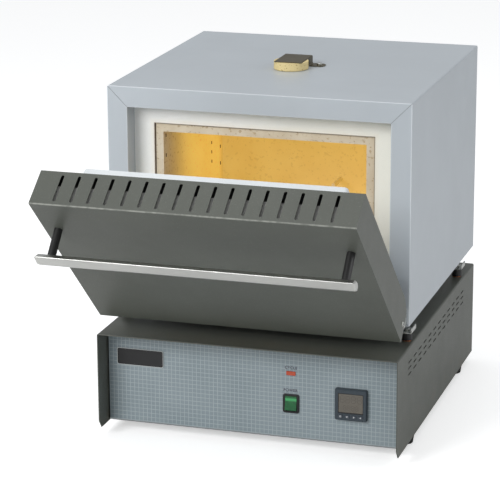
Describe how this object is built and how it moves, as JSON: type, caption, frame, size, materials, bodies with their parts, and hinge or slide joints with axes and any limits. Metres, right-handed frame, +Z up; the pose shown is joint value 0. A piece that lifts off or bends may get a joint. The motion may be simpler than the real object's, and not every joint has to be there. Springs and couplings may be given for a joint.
{
  "type": "muffle furnace",
  "caption": "Bench-top muffle furnace: drop-down door with bar handle, insulated heating chamber in a boxed housing on stand-offs over a control base with rocker switch and controller",
  "frame": {"origin": "middle of the bottom of the box round the furnace with its door at the angle pictured; the feet stand on z = 0", "axes": "+Z up, -Y towards the user (the door opens that way), +X to the right as seen from the front"},
  "size_m": [0.458, 0.7548, 0.5343],
  "materials": {
    "housing_paint": "satin",
    "dark_paint": "satin",
    "panel_film": "satin",
    "plate_black": "satin",
    "rubber_black": "matte",
    "zinc": "satin",
    "copper_washer": "satin",
    "bushing_black": "matte",
    "board_white": "matte",
    "fibre": "matte",
    "slab_white": "matte",
    "heater_tan": "matte",
    "hearth_ceramic": "matte",
    "plug_cream": "matte",
    "probe_ceramic": "matte",
    "vent_dark": "satin",
    "bar_aluminium": "satin",
    "post_black": "satin",
    "switch_black": "satin",
    "rocker_green": "satin",
    "lamp_orange": "satin",
    "controller_case": "satin",
    "display": "gloss",
    "button_grey": "matte",
    "plastic_black": "matte",
    "brass_pin": "satin",
    "raw_aluminium": "satin",
    "terminal_ceramic": "satin",
    "chassis_zinc": "satin"
  },
  "bodies": {
    "furnace": {"base_cover": "dark_paint", "base_chassis": "chassis_zinc", "panel_overlay": "panel_film", "blank_plate": "plate_black", "rubber_feet": "rubber_black", "foot_fasteners": "zinc", "rocker_bezel": "switch_black", "cycle_lamp_lens": "lamp_orange", "cycle_lamp_body": "plastic_black", "controller_bezel": "controller_case", "controller_window": "display", "controller_body": "plastic_black", "power_inlet": "plastic_black", "inlet_pins": "brass_pin", "rear_screws": "zinc", "fuse_holders": "plastic_black", "relay_heatsink": "raw_aluminium", "solid_state_relay": "plastic_black", "terminal_block": "terminal_ceramic", "stand_off_washers": "copper_washer", "stand_off_bushings": "bushing_black", "mounting_straps": "zinc", "stand_off_screws": "zinc", "lead_tubes": "terminal_ceramic", "housing_wrap": "housing_paint", "housing_floor": "housing_paint", "housing_back": "housing_paint", "collar": "board_white", "insulation_floor": "fibre", "insulation_sides": "fibre", "insulation_top": "fibre", "insulation_back": "fibre", "heater_plate_sides": "heater_tan", "heater_plate_top": "heater_tan", "heater_plate_floor": "heater_tan", "muffle_back_plate": "heater_tan", "hearth_plate": "hearth_ceramic", "wall_pins": "zinc", "thermocouple": "probe_ceramic", "heater_terminals": "terminal_ceramic", "exhaust_tube": "probe_ceramic", "vent_screw": "zinc", "hinge_brackets": "zinc", "hinge_bracket_screws": "zinc"},
    "door": {"door_shell": "dark_paint", "door_inner_panel": "dark_paint", "door_lining": "fibre", "door_insulation": "slab_white", "door_hinge_plates": "zinc", "door_screws": "zinc", "handle_bar": "bar_aluminium", "handle_posts": "post_black", "handle_screws": "zinc"},
    "rocker": {"power_rocker": "rocker_green"},
    "button_1": {"controller_button_1": "button_grey"},
    "button_2": {"controller_button_2": "button_grey"},
    "button_3": {"controller_button_3": "button_grey"},
    "button_4": {"controller_button_4": "button_grey"},
    "vent_cover": {"vent_bracket": "vent_dark", "vent_plug": "plug_cream"}
  },
  "joints": [
    {"name": "door_hinge", "type": "hinge", "parent": "furnace", "child": "door", "pos_m": [0, -0.12556, 0.2007], "axis": [1, 0, 0], "range_deg": [-47.5, 42.5]},
    {"name": "rocker_tilt", "type": "hinge", "parent": "furnace", "child": "rocker", "pos_m": [0.0589, -0.09566, 0.0692], "axis": [1, 0, 0], "range_deg": [0, 16]},
    {"name": "vent_swing", "type": "hinge", "parent": "furnace", "child": "vent_cover", "pos_m": [0.031, 0.14944, 0.521], "axis": [0, 0, 1], "range_deg": [0, 90]},
    {"name": "button_1_press", "type": "slide", "parent": "furnace", "child": "button_1", "axis": [0, 1, 0], "range_m": [0, 0.0008], "stiffness_N_per_m": 600, "springref_m": -0.0005},
    {"name": "button_2_press", "type": "slide", "parent": "furnace", "child": "button_2", "axis": [0, 1, 0], "range_m": [0, 0.0008], "stiffness_N_per_m": 600, "springref_m": -0.0005},
    {"name": "button_3_press", "type": "slide", "parent": "furnace", "child": "button_3", "axis": [0, 1, 0], "range_m": [0, 0.0008], "stiffness_N_per_m": 600, "springref_m": -0.0005},
    {"name": "button_4_press", "type": "slide", "parent": "furnace", "child": "button_4", "axis": [0, 1, 0], "range_m": [0, 0.0008], "stiffness_N_per_m": 600, "springref_m": -0.0005}
  ]
}
